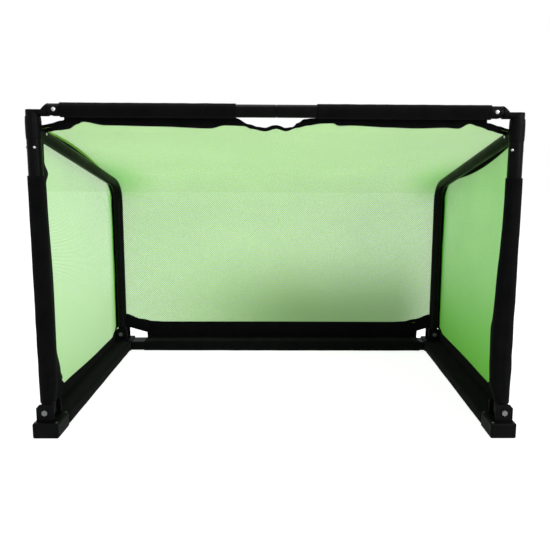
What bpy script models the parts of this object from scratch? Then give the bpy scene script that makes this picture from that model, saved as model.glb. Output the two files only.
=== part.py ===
"""Folding training goal with a net.

A flat U of base bars lies on the ground. A side frame stands on each arm of the U: a front post, a
corner elbow and a bent tube that slopes back and turns down to the rear corner. Each side frame
folds inwards about the bolts of its two clevises. The crossbar is two halves: each hangs on a bolt
in its elbow and folds down along its post, and they meet on a ferrule in the middle.

Metres, +X right, +Y from the mouth to the back, +Z up. The origin is the middle of the footprint,
on the ground.
"""
import math

import bmesh
import bpy
from mathutils import Matrix, Vector

# ---- driving dimensions ----
WIDTH = 1.200
DEPTH = 0.690
GAP = 0.0003                    # between pieces that touch
FRONT_Y = -DEPTH / 2
BACK_Y = DEPTH / 2

TUBE_R = 0.0153                 # bent tubes and crossbar
POST_R = 0.0170
TUBE_WALL = 0.0015
SPIGOT_R = TUBE_R - TUBE_WALL - GAP     # what plugs into a tube
POST_SPIGOT_R = POST_R - TUBE_WALL - GAP
TUBE_SIDES = 20

FRAME_X = 0.572                 # plane of each side frame
POST_Y = FRONT_Y + 0.036
REAR_Y = BACK_Y - 0.037
PIVOT_Z = 0.062                 # height of the fold axis
TUBE_FOOT_Z = 0.0475            # lower end of the bent tubes
POST_FOOT_Z = 0.0535            # lower end of the posts, which turn clear of the clevises' flanges

CROSSBAR_Z = 0.800
HINGE_X = 0.517                 # crossbar pivot
FORK_END_X = HINGE_X + 0.017
FORK_SHOULDER_X = HINGE_X - 0.014       # where the crossbar tube starts
TONGUE_R = 0.010
TONGUE_T = 0.010

COLLAR_LOW_Z = 0.7315           # elbow
COLLAR_HIGH_Z = 0.784
ELBOW_TOP_Z = 0.800
BOSS_END = 0.026                # from the post's axis to the front end of the bent tube
POST_SCREW_Z = 0.7125
ROOF_SLOPE = math.radians(13.8)
ROOF_AXIS_Z = 0.7535            # height of the sloping tube's axis at the post
BEND_R = 0.070
BEND_STEPS = 7

# ---- base ----
FOOT_W = 0.064
FOOT_H = 0.039
FOOT_L = 0.070
BASE_X = WIDTH / 2 - FOOT_W / 2
REAR_BAR_Y = BACK_Y - FOOT_W / 2
BAR_W = 0.0585
BAR_H = 0.0315
BAR_LOW_Z = 0.0022
BAR_WALL = 0.0018
BAR_CORNER_R = 0.006
BAR_MID_Z = BAR_LOW_Z + BAR_H / 2
BLOCK_BEVEL = 0.004
BLOCK_SPIGOT_L = 0.030
SPIGOT_BEVEL = 0.0046           # clears the bars' inner corners

CLEVIS_W = 0.044
CLEVIS_TOP_Z = 0.082
FRONT_CLEVIS_INNER = 0.0192     # half of the gap between its ears
REAR_CLEVIS_INNER = 0.0178
EAR_T = 0.003
FLANGE_T = 0.0025

# ---- fasteners ----
BOLT_R = 0.004
BOLT_HEX_R = 0.0075
BOLT_HEAD_T = 0.0045
NUT_T = 0.0065
BOLT_CLEAR_R = BOLT_R + GAP
HINGE_BOLT_R = 0.0025
HINGE_HEAD_R = 0.0048
SCREW_R = 0.0016
SCREW_HEAD_R = 0.0034
SCREW_HEAD_H = 0.0018
SCREW_L = 0.008

# ---- fabric ----
FABRIC_T = 0.0012
NET_T = 0.002
NET_OFFSET = 0.0185             # net's middle from the bent tube's axis
SIDE_NET_X = 0.5965
SIDE_NET_LOW_Z = 0.0685
BACK_NET_LOW_Z = 0.0955
ROOF_NET_FRONT_Y = FRONT_Y + 0.0595
SLEEVE_LOW_Z = 0.083
SLEEVE_HIGH_Z = 0.646
SLEEVE_FIN_Y = FRONT_Y + 0.131
CROSSBAR_SLEEVE_X = (0.096, 0.5065)

COLOURS = {                     # colour, roughness, metallic
    "black_tube": ((0.012, 0.012, 0.013), 0.35, 0.4),
    "black_plastic": ((0.016, 0.016, 0.017), 0.5, 0.0),
    "black_bracket": ((0.014, 0.014, 0.015), 0.4, 0.5),
    "bolt_steel": ((0.32, 0.32, 0.33), 0.4, 1.0),
    "screw_steel": ((0.75, 0.75, 0.76), 0.25, 1.0),
    "black_fabric": ((0.011, 0.011, 0.012), 0.9, 0.0),
    "green_mesh": ((0.36, 0.72, 0.20), 0.7, 0.0),
}

X_AXIS = Vector((1, 0, 0))
Y_AXIS = Vector((0, 1, 0))
Z_AXIS = Vector((0, 0, 1))
SIDES = {"left": -1, "right": 1}


# ---- scene, collections and materials ----
def clear_scene():
    for obj in list(bpy.data.objects):
        bpy.data.objects.remove(obj, do_unlink=True)


def new_collection(name):
    collection = bpy.data.collections.new(name)
    bpy.context.scene.collection.children.link(collection)
    return collection


def new_material(name, colour, roughness, metallic):
    material = bpy.data.materials.new(name)
    material.use_nodes = True
    shader = material.node_tree.nodes["Principled BSDF"]
    shader.inputs["Base Color"].default_value = (*colour, 1.0)
    shader.inputs["Roughness"].default_value = roughness
    shader.inputs["Metallic"].default_value = metallic
    material.diffuse_color = (*colour, 1.0)
    return material


clear_scene()
goal = new_collection("folding_goal")
cutters = new_collection("cutters")
materials = {name: new_material(name, *look) for name, look in COLOURS.items()}


def new_pivot(name, location):
    empty = bpy.data.objects.new(name, None)
    empty.location = location
    empty.empty_display_size = 0.03
    goal.objects.link(empty)
    return empty


def place(obj, look, pivot=None):
    """Make an object a sub-part: its material, and the pivot that it turns about."""
    obj.data.materials.clear()
    obj.data.materials.append(materials[look])
    if pivot is not None:
        obj.parent = pivot
        offset = pivot.location + (pivot.parent.location if pivot.parent else Vector())
        obj.matrix_parent_inverse = Matrix.Translation(offset).inverted()
    return obj


# ---- solids ----
def mesh_object(name, bm):
    mesh = bpy.data.meshes.new(name)
    bm.to_mesh(mesh)
    bm.free()
    mesh.shade_smooth()
    mesh.set_sharp_from_angle(angle=math.radians(35))
    obj = bpy.data.objects.new(name, mesh)
    goal.objects.link(obj)
    return obj


def to_mesh(curve_obj):
    """A mesh object in place of a curve object, with its caps welded on."""
    evaluated = curve_obj.evaluated_get(bpy.context.evaluated_depsgraph_get())
    mesh = bpy.data.meshes.new_from_object(evaluated)
    bm = bmesh.new()
    bm.from_mesh(mesh)
    bmesh.ops.remove_doubles(bm, verts=bm.verts, dist=0.00001)
    name = curve_obj.name
    matrix = curve_obj.matrix_world.copy()
    bpy.data.objects.remove(curve_obj, do_unlink=True)
    bpy.data.meshes.remove(mesh)
    obj = mesh_object(name, bm)
    obj.matrix_world = matrix
    return obj


def frame_matrix(origin, z_direction, x_direction):
    """The placement whose local Z and X axes point along two directions."""
    z = Vector(z_direction).normalized()
    x = Vector(x_direction).normalized()
    y = z.cross(x)
    rotation = Matrix((x, y, z)).transposed().to_4x4()
    return Matrix.Translation(origin) @ rotation


def box(name, low, high, bevel=0.0, segments=2):
    low, high = Vector(low), Vector(high)
    low, high = (Vector(map(min, low, high)), Vector(map(max, low, high)))
    bm = bmesh.new()
    matrix = Matrix.Translation((low + high) / 2) @ Matrix.Diagonal((*(high - low), 1))
    bmesh.ops.create_cube(bm, size=1, matrix=matrix)
    obj = mesh_object(name, bm)
    if bevel:
        modifier = obj.modifiers.new("edges", "BEVEL")
        modifier.width = bevel
        modifier.segments = segments
    return obj


def rod(name, start, end, radius, sides=16):
    start, end = Vector(start), Vector(end)
    turn = (end - start).to_track_quat("Z", "Y").to_matrix().to_4x4()
    bm = bmesh.new()
    bmesh.ops.create_cone(
        bm, cap_ends=True, segments=sides, radius1=radius, radius2=radius,
        depth=(end - start).length, matrix=Matrix.Translation((start + end) / 2) @ turn)
    return mesh_object(name, bm)


def turned(name, profile, origin, direction=Z_AXIS, steps=TUBE_SIDES, closed=False):
    """A profile of (radius, height) from top to bottom on its outer side, turned about a line."""
    bm = bmesh.new()
    verts = [bm.verts.new((radius, 0, height)) for radius, height in profile]
    for a, b in zip(verts, verts[1:]):
        bm.edges.new((a, b))
    if closed:
        bm.edges.new((verts[-1], verts[0]))
    obj = mesh_object(name, bm)
    turn = Vector(direction).to_track_quat("Z", "Y").to_matrix().to_4x4()
    obj.matrix_world = Matrix.Translation(origin) @ turn
    screw = obj.modifiers.new("turn", "SCREW")
    screw.steps = steps
    screw.render_steps = steps
    screw.use_merge_vertices = True
    screw.merge_threshold = 0.00001
    screw.use_smooth_shade = True
    return obj


def plate(name, outlines, thickness, origin, normal, across):
    """Flat outlines, the first one outside and the rest holes, with half the thickness each way.

    An outline's first coordinate runs along `across`, and its second along normal x across."""
    curve = bpy.data.curves.new(name, "CURVE")
    curve.dimensions = "2D"
    curve.fill_mode = "BOTH"
    curve.extrude = thickness / 2
    for outline in outlines:
        spline = curve.splines.new("POLY")
        spline.points.add(len(outline) - 1)
        for point, (u, v) in zip(spline.points, outline):
            point.co = (u, v, 0, 1)
        spline.use_cyclic_u = True
    obj = bpy.data.objects.new(name, curve)
    goal.objects.link(obj)
    obj.matrix_world = frame_matrix(origin, normal, across)
    bpy.context.view_layer.update()
    return to_mesh(obj)


def hollow_pipe(name, points, radius=TUBE_R, wall=TUBE_WALL):
    """A round tube with open ends along a line of points."""
    curve = bpy.data.curves.new(name, "CURVE")
    curve.dimensions = "3D"
    curve.bevel_depth = radius
    curve.bevel_resolution = TUBE_SIDES // 2 - 2
    spline = curve.splines.new("POLY")
    spline.points.add(len(points) - 1)
    for point, position in zip(spline.points, points):
        point.co = (*position, 1)
    obj = bpy.data.objects.new(name, curve)
    goal.objects.link(obj)
    bpy.context.view_layer.update()
    obj = to_mesh(obj)
    solidify = obj.modifiers.new("wall", "SOLIDIFY")
    solidify.thickness = wall
    solidify.offset = -1
    return obj


def boolean(obj, other, operation):
    modifier = obj.modifiers.new(operation.lower(), "BOOLEAN")
    modifier.operation = operation
    modifier.object = other
    for collection in list(other.users_collection):
        collection.objects.unlink(other)
    cutters.objects.link(other)
    other.hide_render = True
    other.display_type = "WIRE"


def cut(obj, *others):
    for other in others:
        boolean(obj, other, "DIFFERENCE")


def join(obj, *others):
    for other in others:
        boolean(obj, other, "UNION")


# ---- outlines ----
def arc(centre, radius, start_deg, end_deg, steps):
    angles = [math.radians(start_deg + (end_deg - start_deg) * i / steps) for i in range(steps + 1)]
    return [(centre[0] + radius * math.cos(a), centre[1] + radius * math.sin(a)) for a in angles]


def circle(radius, sides, centre=(0, 0)):
    return arc(centre, radius, 0, 360, sides)[:-1]


def rounded_rectangle(width, height, radius, steps=3):
    w, h = width / 2 - radius, height / 2 - radius
    corners = [((w, h), 0), ((-w, h), 90), ((-w, -h), 180), ((w, -h), 270)]
    return [p for centre, start in corners for p in arc(centre, radius, start, start + 90, steps)]


def bent_path(offset=0.0, front_y=None, low_z=TUBE_FOOT_Z):
    """(y, z) points along the bent tube's axis, or `offset` outside it, from front to foot."""
    down = math.tan(ROOF_SLOPE)
    corner_z = ROOF_AXIS_Z - down * (REAR_Y - POST_Y)
    tangent = BEND_R * math.tan((math.pi / 2 - ROOF_SLOPE) / 2)
    centre = (REAR_Y - BEND_R, corner_z - tangent)
    start = 90 - math.degrees(ROOF_SLOPE)
    front_y = POST_Y + BOSS_END if front_y is None else front_y
    front_z = ROOF_AXIS_Z - down * (front_y - POST_Y) + offset / math.cos(ROOF_SLOPE)
    bend = arc(centre, BEND_R + offset, start, 0, BEND_STEPS)
    return [(front_y, front_z), *bend, (REAR_Y + offset, low_z)]


def band(inner, outer):
    return inner + outer[::-1]


# ---- fasteners ----
def screw(name, head_point, direction, pivot=None, length=SCREW_L, radius=SCREW_R):
    """A domed screw whose head sits at head_point and faces along direction."""
    dome = [(SCREW_HEAD_R * math.sin(a), SCREW_HEAD_H * math.cos(a))
            for a in (math.pi / 2 * i / 3 for i in range(4))]
    profile = [*dome, (radius, 0), (radius, -length), (0, -length)]
    seat = Vector(head_point) + Vector(direction).normalized() * GAP
    return place(turned(name, profile, seat, direction, steps=12), "screw_steel", pivot)


def screw_hole(name, head_point, direction, length=SCREW_L, radius=SCREW_R):
    """The cutter for a screw's hole, from outside its head to past its tip."""
    unit = Vector(direction).normalized()
    top = Vector(head_point) + unit * 0.003
    bottom = Vector(head_point) - unit * (length + GAP)
    return rod(name, top, bottom, radius + GAP, sides=12)


def hexagon(radius):
    return circle(radius, 6)


def pivot_bolt(name, x, y, half_gap):
    head_y = y - half_gap - EAR_T - GAP
    tip_y = y + half_gap + EAR_T + NUT_T + 0.003
    bolt = rod(name, (x, head_y, PIVOT_Z), (x, head_y - BOLT_HEAD_T, PIVOT_Z), BOLT_HEX_R, sides=6)
    join(bolt, rod(name + "_shank", (x, head_y - BOLT_HEAD_T / 2, PIVOT_Z), (x, tip_y, PIVOT_Z), BOLT_R))
    return place(bolt, "bolt_steel")


def lock_nut(name, x, y, half_gap):
    middle = (x, y + half_gap + EAR_T + GAP + NUT_T / 2, PIVOT_Z)
    nut = plate(name, [hexagon(BOLT_HEX_R), circle(BOLT_CLEAR_R, 16)], NUT_T, middle, Y_AXIS, X_AXIS)
    return place(nut, "bolt_steel")


# ---- base ----
def clevis_ears(name, x, y, side, low_z, half_gap):
    """Two upright ears with a chamfered outer top corner, joined by a flange."""
    half = CLEVIS_W / 2
    top = CLEVIS_TOP_Z - low_z
    outline = [(-half, 0), (half, 0), (half, top - 0.009), (half - 0.008, top), (-half + 0.004, top),
               (-half, top - 0.004)]
    outline = [(side * u, v) for u, v in outline]
    pieces = []
    for end, sign in (("front", -1), ("back", 1)):
        middle = (x, y + sign * (half_gap + EAR_T / 2), low_z)
        pieces.append(plate(f"{name}_{end}_ear", [outline], EAR_T, middle, -Y_AXIS, X_AXIS))
    return pieces


def bolt_cutter(name, x, y):
    reach = FRONT_CLEVIS_INNER + EAR_T + 0.002
    return rod(name, (x, y - reach, PIVOT_Z), (x, y + reach, PIVOT_Z), BOLT_CLEAR_R)


def foot_screw_points(side):
    """Two near the front corners, and one behind the clevis on the inner side."""
    inner, outer = side * (WIDTH / 2 - FOOT_W + 0.006), side * (WIDTH / 2 - 0.0055)
    front, back = FRONT_Y + 0.0075, FRONT_Y + 0.0635
    return [(inner, front, FOOT_H), (outer, front, FOOT_H), (inner, back, FOOT_H)]


def foot_block(label, side):
    """The front end of a base arm: a moulded block with a spigot into the bar."""
    name = f"foot_block_{label}"
    inner, outer = side * (WIDTH / 2 - FOOT_W), side * WIDTH / 2
    block = box(name, (inner, FRONT_Y, 0), (outer, FRONT_Y + FOOT_L, FOOT_H), BLOCK_BEVEL, 3)
    half_w, half_h = BAR_W / 2 - BAR_WALL - GAP, BAR_H / 2 - BAR_WALL - GAP
    start = FRONT_Y + FOOT_L - 0.006
    join(block, box(name + "_spigot", (side * BASE_X - half_w, start, BAR_MID_Z - half_h),
                    (side * BASE_X + half_w, start + BLOCK_SPIGOT_L, BAR_MID_Z + half_h), SPIGOT_BEVEL))
    for i, point in enumerate(foot_screw_points(side), 1):
        cut(block, screw_hole(f"{name}_hole_{i}", point, Z_AXIS))
        screw(f"foot_screw_{label}_{i}", point, Z_AXIS)
    return place(block, "black_plastic")


def front_clevis(label, side):
    name = f"front_clevis_{label}"
    low_z = FOOT_H + GAP
    reach = FRONT_CLEVIS_INNER + EAR_T + 0.002
    x = side * FRAME_X
    clevis = box(name, (x - CLEVIS_W / 2, POST_Y - reach, low_z),
                 (x + CLEVIS_W / 2, POST_Y + reach, low_z + FLANGE_T))
    join(clevis, *clevis_ears(name, x, POST_Y, side, low_z + FLANGE_T / 2, FRONT_CLEVIS_INNER))
    cut(clevis, bolt_cutter(name + "_bolt_hole", x, POST_Y))
    return place(clevis, "black_bracket")


def rear_corner(label, side):
    """The block that joins a side bar to the rear bar, with the rear clevis on top."""
    name = f"rear_corner_{label}"
    x = side * FRAME_X
    inner, outer = side * (WIDTH / 2 - FOOT_W), side * WIDTH / 2
    corner = box(name, (inner, BACK_Y - FOOT_W, 0), (outer, BACK_Y, FOOT_H), BLOCK_BEVEL, 3)
    half_w, half_h = BAR_W / 2 - BAR_WALL - GAP, BAR_H / 2 - BAR_WALL - GAP
    front = BACK_Y - FOOT_W + 0.006
    join(corner, box(name + "_side_spigot", (side * BASE_X - half_w, front, BAR_MID_Z - half_h),
                     (side * BASE_X + half_w, front - BLOCK_SPIGOT_L, BAR_MID_Z + half_h), SPIGOT_BEVEL))
    start = inner + side * 0.006
    join(corner, box(name + "_rear_spigot", (start, REAR_BAR_Y - half_w, BAR_MID_Z - half_h),
                     (start - side * BLOCK_SPIGOT_L, REAR_BAR_Y + half_w, BAR_MID_Z + half_h), SPIGOT_BEVEL))
    join(corner, *clevis_ears(name, x, REAR_Y, side, FOOT_H - FLANGE_T, REAR_CLEVIS_INNER))
    cut(corner, bolt_cutter(name + "_bolt_hole", x, REAR_Y))
    return place(corner, "black_plastic")


def base_bar(name, start, end, across):
    """A rectangular steel tube with rounded corners."""
    start, end = Vector(start), Vector(end)
    outer = rounded_rectangle(BAR_W, BAR_H, BAR_CORNER_R)
    inner = rounded_rectangle(BAR_W - 2 * BAR_WALL, BAR_H - 2 * BAR_WALL, BAR_CORNER_R - BAR_WALL)
    direction = (end - start).normalized()
    bar = plate(name, [outer, inner], (end - start).length, (start + end) / 2, direction, across)
    return place(bar, "black_tube")


def bar_skirt(name, start, end, across, fin_offset, fin_top_z, fin_root):
    """Black cloth round a base bar, with a fin up to the net on its outer side.

    fin_root is how far above the inside of the cloth's top the fin starts."""
    start, end = Vector(start), Vector(end)
    slack = 2 * GAP
    width, height = BAR_W + slack, BAR_H + slack
    outer = rounded_rectangle(width + 2 * FABRIC_T, height + 2 * FABRIC_T, BAR_CORNER_R + FABRIC_T)
    inner = rounded_rectangle(width, height, BAR_CORNER_R)
    direction = (end - start).normalized()
    skirt = plate(name, [outer, inner], (end - start).length, (start + end) / 2, direction, across)
    half = Vector(across) * NET_T / 2
    foot = Vector(across) * fin_offset + Z_AXIS * (height / 2 + fin_root)
    top = Z_AXIS * (fin_top_z - BAR_MID_Z) + Vector(across) * fin_offset
    join(skirt, box(name + "_fin", start + foot - half, end + top + half))
    return place(skirt, "black_fabric")


def build_base():
    for label, side in SIDES.items():
        x = side * BASE_X
        front_end, rear_end = FRONT_Y + FOOT_L + GAP, BACK_Y - FOOT_W - GAP
        foot_block(label, side)
        front_clevis(label, side)
        rear_corner(label, side)
        base_bar(f"base_side_bar_{label}", (x, front_end, BAR_MID_Z), (x, rear_end, BAR_MID_Z), X_AXIS)
        outward = X_AXIS * side
        bar_skirt(f"side_skirt_{label}", (x, front_end, BAR_MID_Z), (x, rear_end, BAR_MID_Z),
                  outward, SIDE_NET_X - BASE_X, SIDE_NET_LOW_Z - 0.001, -0.0013)
        clevises = [("front", POST_Y, FRONT_CLEVIS_INNER), ("rear", REAR_Y, REAR_CLEVIS_INNER)]
        for end, y, half_gap in clevises:
            pivot_bolt(f"{end}_pivot_bolt_{label}", side * FRAME_X, y, half_gap)
            lock_nut(f"{end}_lock_nut_{label}", side * FRAME_X, y, half_gap)
    reach = WIDTH / 2 - FOOT_W - GAP
    base_bar("base_rear_bar", (-reach, REAR_BAR_Y, BAR_MID_Z), (reach, REAR_BAR_Y, BAR_MID_Z), Y_AXIS)
    skirt_reach = reach - 0.068
    bar_skirt("rear_skirt", (-skirt_reach, REAR_BAR_Y, BAR_MID_Z), (skirt_reach, REAR_BAR_Y, BAR_MID_Z),
              Y_AXIS, REAR_Y + NET_OFFSET + 0.0035 - REAR_BAR_Y, BACK_NET_LOW_Z - 0.001, FABRIC_T / 2)


# ---- side frames ----
def post_screws(label):
    """(name, angle round the post from straight ahead, positive outwards)."""
    return {"left": [("front", -24), ("side", 80)], "right": [("front", -50), ("side", 72)]}[label]


def screw_place(side, angle_deg):
    angle = math.radians(angle_deg)
    direction = Vector((side * math.sin(angle), -math.cos(angle), 0))
    return Vector((side * FRAME_X, POST_Y, POST_SCREW_Z)) + direction * POST_R, direction


def elbow(label, side, pivot):
    """Corner fitting: barrel collar with a spigot down the post, a boss with a spigot into the bent
    tube, and an arm with the tongue that carries the crossbar."""
    name = f"corner_elbow_{label}"
    x = side * FRAME_X
    spigot_low = 0.700
    collar = [(0.0005, COLLAR_HIGH_Z), (0.0012, 0.772), (0.0012, 0.746), (0.0007, COLLAR_LOW_Z + 0.001),
              (0, COLLAR_LOW_Z)]
    profile = [(0, ELBOW_TOP_Z), (POST_R - 0.0020, ELBOW_TOP_Z), (POST_R - 0.0010, ELBOW_TOP_Z - 0.001),
               (POST_R - 0.0008, COLLAR_HIGH_Z + 0.001), *((POST_R + swell, z) for swell, z in collar),
               (POST_SPIGOT_R, COLLAR_LOW_Z), (POST_SPIGOT_R, spigot_low), (0, spigot_low)]
    body = turned(name, profile, (x, POST_Y, 0))
    back = Vector((0, math.cos(ROOF_SLOPE), -math.sin(ROOF_SLOPE)))
    root = Vector((x, POST_Y, ROOF_AXIS_Z))
    shoulder = BOSS_END / math.cos(ROOF_SLOPE) - GAP
    join(body, rod(name + "_boss", root, root + back * shoulder, 0.0158, TUBE_SIDES),
         rod(name + "_boss_spigot", root, root + back * (shoulder + 0.030), SPIGOT_R, TUBE_SIDES))
    arm_end = side * (FORK_END_X + 0.001)
    arm = rod(name + "_arm", (x, POST_Y, CROSSBAR_Z), (arm_end, POST_Y, CROSSBAR_Z), TUBE_R, TUBE_SIDES)
    drop = CROSSBAR_Z + TUBE_R - ELBOW_TOP_Z + 0.0002
    slope = [(0, 0), (0.012, -drop), (0.060, -drop), (0.060, 0.030), (0, 0.030)]
    slope = [(side * u, v) for u, v in slope]
    cut(arm, plate(name + "_slope", [slope], 0.050, (arm_end, POST_Y, CROSSBAR_Z + TUBE_R), -Y_AXIS, X_AXIS))
    join(body, arm)
    hinge = (side * HINGE_X, POST_Y, CROSSBAR_Z)
    reach = FORK_END_X + 0.006 - HINGE_X    # into the arm
    tongue = [(reach, -TONGUE_R), (reach, TONGUE_R), *arc((0, 0), TONGUE_R, 90, 270, 8)]
    tongue = [(side * u, v) for u, v in tongue]
    hole = circle(HINGE_BOLT_R + GAP, 16)
    join(body, plate(name + "_tongue", [tongue, hole], TONGUE_T, hinge, -Y_AXIS, X_AXIS))
    for place_name, angle in post_screws(label):
        point, direction = screw_place(side, angle)
        cut(body, screw_hole(f"{name}_{place_name}_hole", point, direction))
    cut(body, screw_hole(name + "_rivet_hole", *rivet_place(side)))
    return place(body, "black_plastic", pivot)


def rivet_place(side):
    """The rivet through the bent tube's front end, on the inner side."""
    along = 0.034
    point = Vector((side * (FRAME_X - TUBE_R), POST_Y + along * math.cos(ROOF_SLOPE),
                    ROOF_AXIS_Z - along * math.sin(ROOF_SLOPE)))
    return point, Vector((-side, 0, 0))


def foot_plug(name, x, y, low_z, tube_r, pivot):
    """The plastic end of an upright, between the ears of its clevis."""
    flange_low = low_z - 0.002
    top = low_z + 0.030
    spigot_r = tube_r - TUBE_WALL - GAP
    profile = [(0, top), (spigot_r - 0.001, top), (spigot_r, top - 0.001), (spigot_r, low_z - GAP),
               (tube_r, low_z - GAP), (tube_r - 0.001, flange_low), (0, flange_low)]
    plug = turned(name, profile, (x, y, 0))
    cut(plug, bolt_cutter(name + "_bolt_hole", x, y))
    return place(plug, "black_plastic", pivot)


def post(label, side, pivot):
    name = f"post_{label}"
    x = side * FRAME_X
    top = COLLAR_LOW_Z - GAP
    tube = hollow_pipe(name, [(x, POST_Y, POST_FOOT_Z), (x, POST_Y, top)], POST_R)
    cut(tube, bolt_cutter(name + "_bolt_hole", x, POST_Y))
    for place_name, angle in post_screws(label):
        point, direction = screw_place(side, angle)
        cut(tube, screw_hole(f"{name}_{place_name}_hole", point, direction))
        screw(f"post_screw_{place_name}_{label}", point, direction, pivot)
    return place(tube, "black_tube", pivot)


def bent_tube(label, side, pivot):
    name = f"bent_tube_{label}"
    x = side * FRAME_X
    tube = hollow_pipe(name, [(x, y, z) for y, z in bent_path()])
    cut(tube, bolt_cutter(name + "_bolt_hole", x, REAR_Y))
    point, direction = rivet_place(side)
    cut(tube, screw_hole(name + "_rivet_hole", point, direction))
    screw(f"bent_tube_rivet_{label}", point, direction, pivot)
    return place(tube, "black_tube", pivot)


def post_sleeve(label, side, pivot):
    """Black cloth round the post, with a fin back to the side net."""
    name = f"post_sleeve_{label}"
    inner_r = POST_R + GAP
    outer_r = inner_r + FABRIC_T
    height = SLEEVE_HIGH_Z - SLEEVE_LOW_Z
    middle = (side * FRAME_X, POST_Y, (SLEEVE_HIGH_Z + SLEEVE_LOW_Z) / 2)
    sleeve = plate(name, [circle(outer_r, TUBE_SIDES), circle(inner_r, TUBE_SIDES)], height, middle,
                   Z_AXIS, X_AXIS)
    start_u = outer_r - FABRIC_T / 2
    end_u, end_v = SIDE_NET_X - FRAME_X, SLEEVE_FIN_Y - POST_Y
    half = NET_T / 2
    fin = [(side * u, v) for u, v in [(start_u - half, 0.002), (start_u + half, 0.002),
                                      (end_u + half, end_v), (end_u - half, end_v)]]
    join(sleeve, plate(name + "_fin", [fin], height, middle, Z_AXIS, X_AXIS))
    return place(sleeve, "black_fabric", pivot)


def side_net(label, side, pivot):
    """A flat panel outside the frame, from the base to under the roof net's edge."""
    upper_front_y = FRONT_Y + 0.064
    edge = bent_path(NET_OFFSET - NET_T / 2 - 0.0006, upper_front_y, SIDE_NET_LOW_Z)
    outline = [(SLEEVE_FIN_Y + GAP, SIDE_NET_LOW_Z), (SLEEVE_FIN_Y + GAP, SLEEVE_HIGH_Z + 0.006),
               (upper_front_y, SLEEVE_HIGH_Z + 0.024), *edge]
    panel = plate(f"side_net_{label}", [outline], NET_T, (side * SIDE_NET_X, 0, 0), X_AXIS, Y_AXIS)
    return place(panel, "green_mesh", pivot)


def seam_binding(label, side, pivot):
    """The black strip over the seam between the side net and the roof and back net."""
    front_y = FRONT_Y + 0.064
    low_z = BACK_NET_LOW_Z + 0.030
    outline = band(bent_path(0.004, front_y, low_z), bent_path(NET_OFFSET + 0.001, front_y, low_z))
    thickness = 0.0016
    x = side * (SIDE_NET_X + NET_T / 2 + GAP + thickness / 2)
    strip = plate(f"seam_binding_{label}", [outline], thickness, (x, 0, 0), X_AXIS, Y_AXIS)
    return place(strip, "black_fabric", pivot)


def build_side_frame(label, side):
    pivot = new_pivot(f"side_pivot_{label}", (side * FRAME_X, POST_Y, PIVOT_Z))
    elbow(label, side, pivot)
    post(label, side, pivot)
    bent_tube(label, side, pivot)
    foot_plug(f"post_foot_plug_{label}", side * FRAME_X, POST_Y, POST_FOOT_Z, POST_R, pivot)
    foot_plug(f"rear_foot_plug_{label}", side * FRAME_X, REAR_Y, TUBE_FOOT_Z, TUBE_R, pivot)
    post_sleeve(label, side, pivot)
    side_net(label, side, pivot)
    seam_binding(label, side, pivot)
    return pivot


# ---- crossbar ----
def crossbar_fork(label, side, pivot):
    """End fitting: a spigot in the crossbar tube and two cheeks round the elbow's tongue."""
    name = f"crossbar_fork_{label}"
    spigot_end = FORK_SHOULDER_X - 0.030
    profile = [(0, FORK_END_X), (TUBE_R - 0.001, FORK_END_X), (TUBE_R, FORK_END_X - 0.001),
               (TUBE_R, FORK_SHOULDER_X), (SPIGOT_R, FORK_SHOULDER_X), (SPIGOT_R, spigot_end),
               (0, spigot_end)]
    fork = turned(name, profile, (0, POST_Y, CROSSBAR_Z), X_AXIS * side)
    slot_half = TONGUE_T / 2 + GAP
    slot_start = FORK_SHOULDER_X + 0.0006
    cut(fork, box(name + "_slot", (side * slot_start, POST_Y - slot_half, CROSSBAR_Z - 0.02),
                  (side * (FORK_END_X + 0.01), POST_Y + slot_half, CROSSBAR_Z + 0.02)))
    heel_r = FORK_END_X - HINGE_X
    heel = [(0.025, 0), (0.025, -0.025), (0, -0.025), *arc((0, 0), heel_r, -90, 0, 6)]
    heel = [(side * u, v) for u, v in heel]
    hinge = (side * HINGE_X, POST_Y, CROSSBAR_Z)
    cut(fork, plate(name + "_heel", [heel], 0.05, hinge, -Y_AXIS, X_AXIS))
    cut(fork, rod(name + "_hinge_hole", (hinge[0], POST_Y - 0.02, CROSSBAR_Z),
                  (hinge[0], POST_Y + 0.02, CROSSBAR_Z), HINGE_BOLT_R + GAP))
    return place(fork, "black_plastic", pivot)


def hinge_bolt(label, side, pivot):
    """The bolt that the crossbar half swings on, with a domed head at the front."""
    head_h = 0.0030
    front = TUBE_R + GAP
    tip = -TUBE_R - 0.0015
    profile = [(0, front + head_h), (HINGE_HEAD_R * 0.6, front + head_h * 0.85),
               (HINGE_HEAD_R, front + 0.001), (HINGE_HEAD_R, front), (HINGE_BOLT_R, front),
               (HINGE_BOLT_R, tip), (0, tip)]
    bolt = turned(f"crossbar_hinge_bolt_{label}", profile, (side * HINGE_X, POST_Y, CROSSBAR_Z), -Y_AXIS, 14)
    return place(bolt, "screw_steel", pivot)


def build_crossbar(label, side, side_pivot):
    pivot = new_pivot(f"crossbar_pivot_{label}", (0, 0, 0))
    pivot.parent = side_pivot
    pivot.location = Vector((side * HINGE_X, POST_Y, CROSSBAR_Z)) - side_pivot.location
    crossbar_fork(label, side, pivot)
    hinge_bolt(label, side, pivot)
    seam = 0.0006
    ends = [(side * u, POST_Y, CROSSBAR_Z) for u in (seam, FORK_SHOULDER_X - GAP)]
    place(hollow_pipe(f"crossbar_tube_{label}", ends), "black_tube", pivot)
    start, end = CROSSBAR_SLEEVE_X
    middle = (side * (start + end) / 2, POST_Y, CROSSBAR_Z)
    inner_r = TUBE_R + GAP
    rings = [circle(inner_r + FABRIC_T, TUBE_SIDES), circle(inner_r, TUBE_SIDES)]
    sleeve = plate(f"crossbar_sleeve_{label}", rings, end - start, middle, X_AXIS, Y_AXIS)
    place(sleeve, "black_fabric", pivot)
    return pivot


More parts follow.
